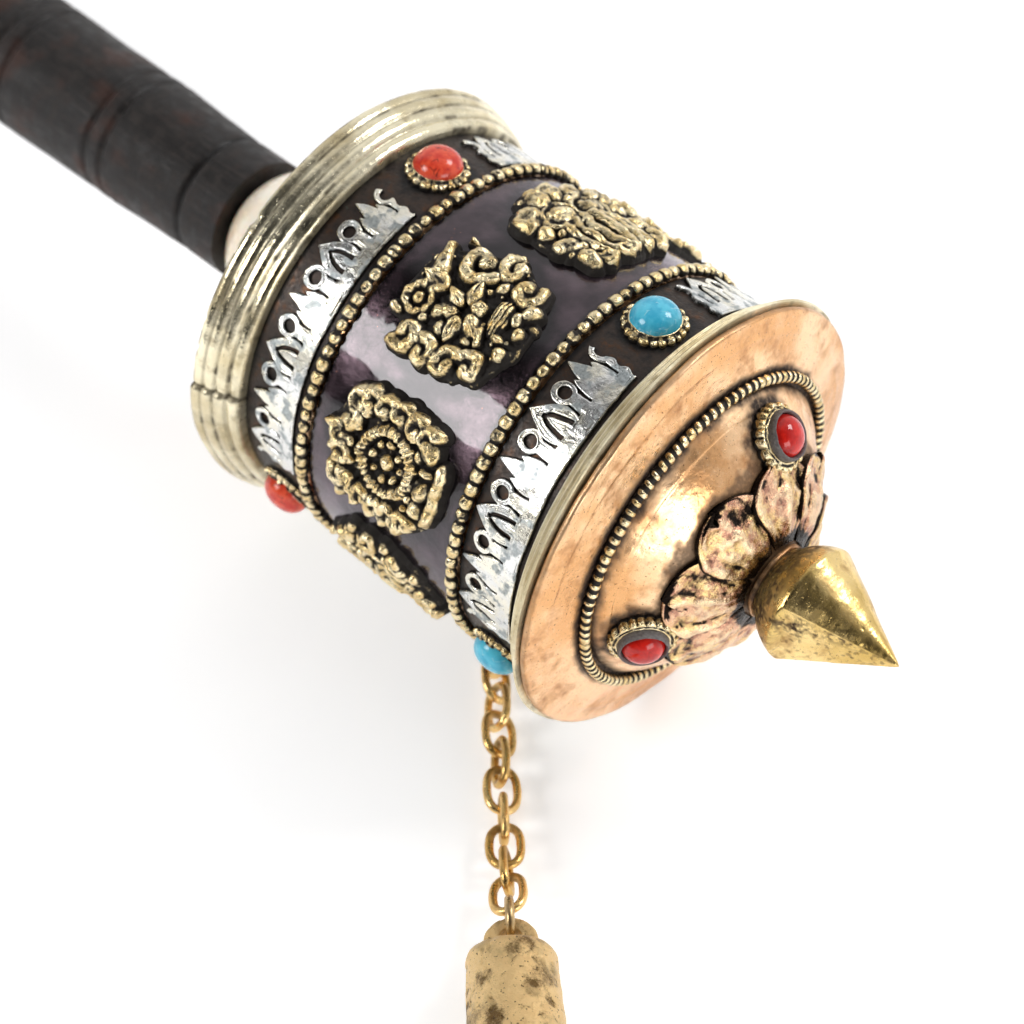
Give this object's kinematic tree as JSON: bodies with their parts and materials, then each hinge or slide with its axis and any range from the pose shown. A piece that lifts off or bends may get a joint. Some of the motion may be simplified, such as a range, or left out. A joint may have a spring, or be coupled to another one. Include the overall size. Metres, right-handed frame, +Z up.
{
  "type": "hand prayer wheel",
  "caption": "Hand prayer wheel: an ornamented drum and lid spin on an axle in a turned wooden handle, swung by a chain and weight.",
  "frame": {"origin": "centre of the handle's flat tail face, on the spin axis", "axes": "+X along the spin axis towards the finial, +Z up from the table the wheel lies on"},
  "size_m": [0.2774, 0.1196, 0.0756],
  "materials": {
    "stained_wood": "near-black stained, satin",
    "steel": "drawn rod",
    "bone": "polished shell or bone",
    "yellow_brass": "polished, lightly pitted",
    "copper": "rosy copper, satin",
    "dark_copper": "oxidised",
    "aubergine_lacquer": "glossy lacquer with orange peel",
    "white_brass": "polished, worn edges",
    "silvered_brass": "silver-plated, dull in the hollows",
    "antique_brass": "antiqued, black in the recesses",
    "coral": "polished",
    "red_coral": "high polish",
    "turquoise": "polished",
    "setting_pitch": "matt grey",
    "chain_gold": "satin gold",
    "petal_copper": "patinated",
    "dark_steel": "darkened",
    "cast_brass": "rough cast, antiqued",
    "pale_wood": "raw",
    "scroll_paper": "matt",
    "tie_cloth": "woven cotton"
  },
  "bodies": {
    "handle": {"handle": "stained_wood", "axle": "steel", "ball_collar": "bone", "thrust_washer": "yellow_brass"},
    "drum": {"drum_shell": "copper", "drum_floor": "copper", "floor_bush": "yellow_brass", "lacquer_sheet": "aubergine_lacquer", "lower_band": "dark_copper", "upper_band": "dark_copper", "lower_rim": "white_brass", "upper_rim": "white_brass", "lower_fretwork": "silvered_brass", "upper_fretwork": "silvered_brass", "lower_bead_wire": "antique_brass", "upper_bead_wire": "antique_brass", "lower_bezels": "antique_brass", "lower_corals": "coral", "upper_bezels": "antique_brass", "turquoise_stones": "turquoise", "chain_staple": "chain_gold", "medallion_parasol": "antique_brass", "medallion_fish": "antique_brass", "medallion_lotus": "antique_brass", "medallion_wheel": "antique_brass", "medallion_vase": "antique_brass", "medallion_conch": "antique_brass", "medallion_knot": "antique_brass", "medallion_banner": "antique_brass"},
    "scroll": {"scroll_core": "pale_wood", "paper_scroll": "scroll_paper", "scroll_ties": "tie_cloth"},
    "lid": {"lid_brim": "copper", "lid_skirt": "copper", "lid_dome": "copper", "lid_bush": "yellow_brass", "neck_collar": "copper", "rope_ring": "antique_brass", "lotus_rosette": "petal_copper", "lid_bezels": "antique_brass", "lid_pitch_rings": "setting_pitch", "lid_corals": "red_coral"},
    "finial": {"finial": "yellow_brass"},
    "link_1": {"chain_link_1": "chain_gold"},
    "link_2": {"chain_link_2": "chain_gold"},
    "link_3": {"chain_link_3": "chain_gold"},
    "link_4": {"chain_link_4": "chain_gold"},
    "link_5": {"chain_link_5": "chain_gold"},
    "link_6": {"chain_link_6": "chain_gold"},
    "link_7": {"chain_link_7": "chain_gold"},
    "link_8": {"chain_link_8": "chain_gold"},
    "link_9": {"chain_link_9": "chain_gold"},
    "link_10": {"chain_link_10": "chain_gold"},
    "ring": {"jump_ring": "dark_steel"},
    "weight": {"chain_weight": "cast_brass"}
  },
  "joints": [
    {"name": "drum_spin", "type": "hinge", "parent": "handle", "child": "drum", "pos_m": [0.2, 0, 0], "axis": [1, 0, 0], "continuous": true},
    {"name": "finial_unscrew", "type": "slide", "parent": "handle", "child": "finial", "axis": [1, 0, 0], "range_m": [0, 0.1]},
    {"name": "lid_lift", "type": "slide", "parent": "drum", "child": "lid", "axis": [1, 0, 0], "range_m": [0, 0.05]},
    {"name": "scroll_lift", "type": "slide", "parent": "drum", "child": "scroll", "axis": [1, 0, 0], "range_m": [0, 0.02]},
    {"name": "chain_at_staple", "type": "hinge", "parent": "drum", "child": "link_1", "pos_m": [0.21543, -0.01993, -0.03201], "axis": [0, 0.848, -0.5299], "range_deg": [-8, 12]},
    {"name": "chain_hinge_1", "type": "hinge", "parent": "link_1", "child": "link_2", "pos_m": [0.21457, -0.02176, -0.03552], "axis": [0.9063, -0.4226, 0], "range_deg": [-10, 10]},
    {"name": "chain_hinge_2", "type": "hinge", "parent": "link_2", "child": "link_3", "pos_m": [0.21952, -0.02575, -0.0345], "axis": [0.4903, 0.5095, -0.7071], "range_deg": [-20, 20]},
    {"name": "chain_hinge_3", "type": "hinge", "parent": "link_3", "child": "link_4", "pos_m": [0.22338, -0.02946, -0.0345], "axis": [0.4161, 0.4324, 0.7999], "range_deg": [-20, 20]},
    {"name": "chain_hinge_4", "type": "hinge", "parent": "link_4", "child": "link_5", "pos_m": [0.22723, -0.03317, -0.0345], "axis": [-0.6079, -0.6317, 0.481], "range_deg": [-20, 20]},
    {"name": "chain_hinge_5", "type": "hinge", "parent": "link_5", "child": "link_6", "pos_m": [0.23109, -0.03688, -0.0345], "axis": [-0.2443, -0.2538, -0.9359], "range_deg": [-20, 20]},
    {"name": "chain_hinge_6", "type": "hinge", "parent": "link_6", "child": "link_7", "pos_m": [0.23494, -0.04059, -0.0345], "axis": [0.677, 0.7035, -0.2164], "range_deg": [-20, 20]},
    {"name": "chain_hinge_7", "type": "hinge", "parent": "link_7", "child": "link_8", "pos_m": [0.2388, -0.0443, -0.0345], "axis": [0.0529, 0.055, 0.9971], "range_deg": [-20, 20]},
    {"name": "chain_hinge_8", "type": "hinge", "parent": "link_8", "child": "link_9", "pos_m": [0.24261, -0.04797, -0.03359], "axis": [-0.6854, -0.7253, -0.0648], "range_deg": [-20, 20]},
    {"name": "chain_hinge_9", "type": "hinge", "parent": "link_9", "child": "link_10", "pos_m": [0.24633, -0.05155, -0.03218], "axis": [0.3133, -0.0159, -0.9495], "range_deg": [-20, 20]},
    {"name": "ring_hinge", "type": "hinge", "parent": "link_10", "child": "ring", "pos_m": [0.25008, -0.05516, -0.03015], "axis": [0.5673, 0.7582, 0.3214], "range_deg": [-10, 10]},
    {"name": "weight_hinge", "type": "hinge", "parent": "ring", "child": "weight", "pos_m": [0.25361, -0.05856, -0.03048], "axis": [0, 0, 1], "range_deg": [-20, 20]}
  ],
  "couplings": [
    {"joint": "lid_lift", "follows": "finial_unscrew", "ratio": 0.5},
    {"joint": "scroll_lift", "follows": "finial_unscrew", "ratio": 0.2}
  ]
}
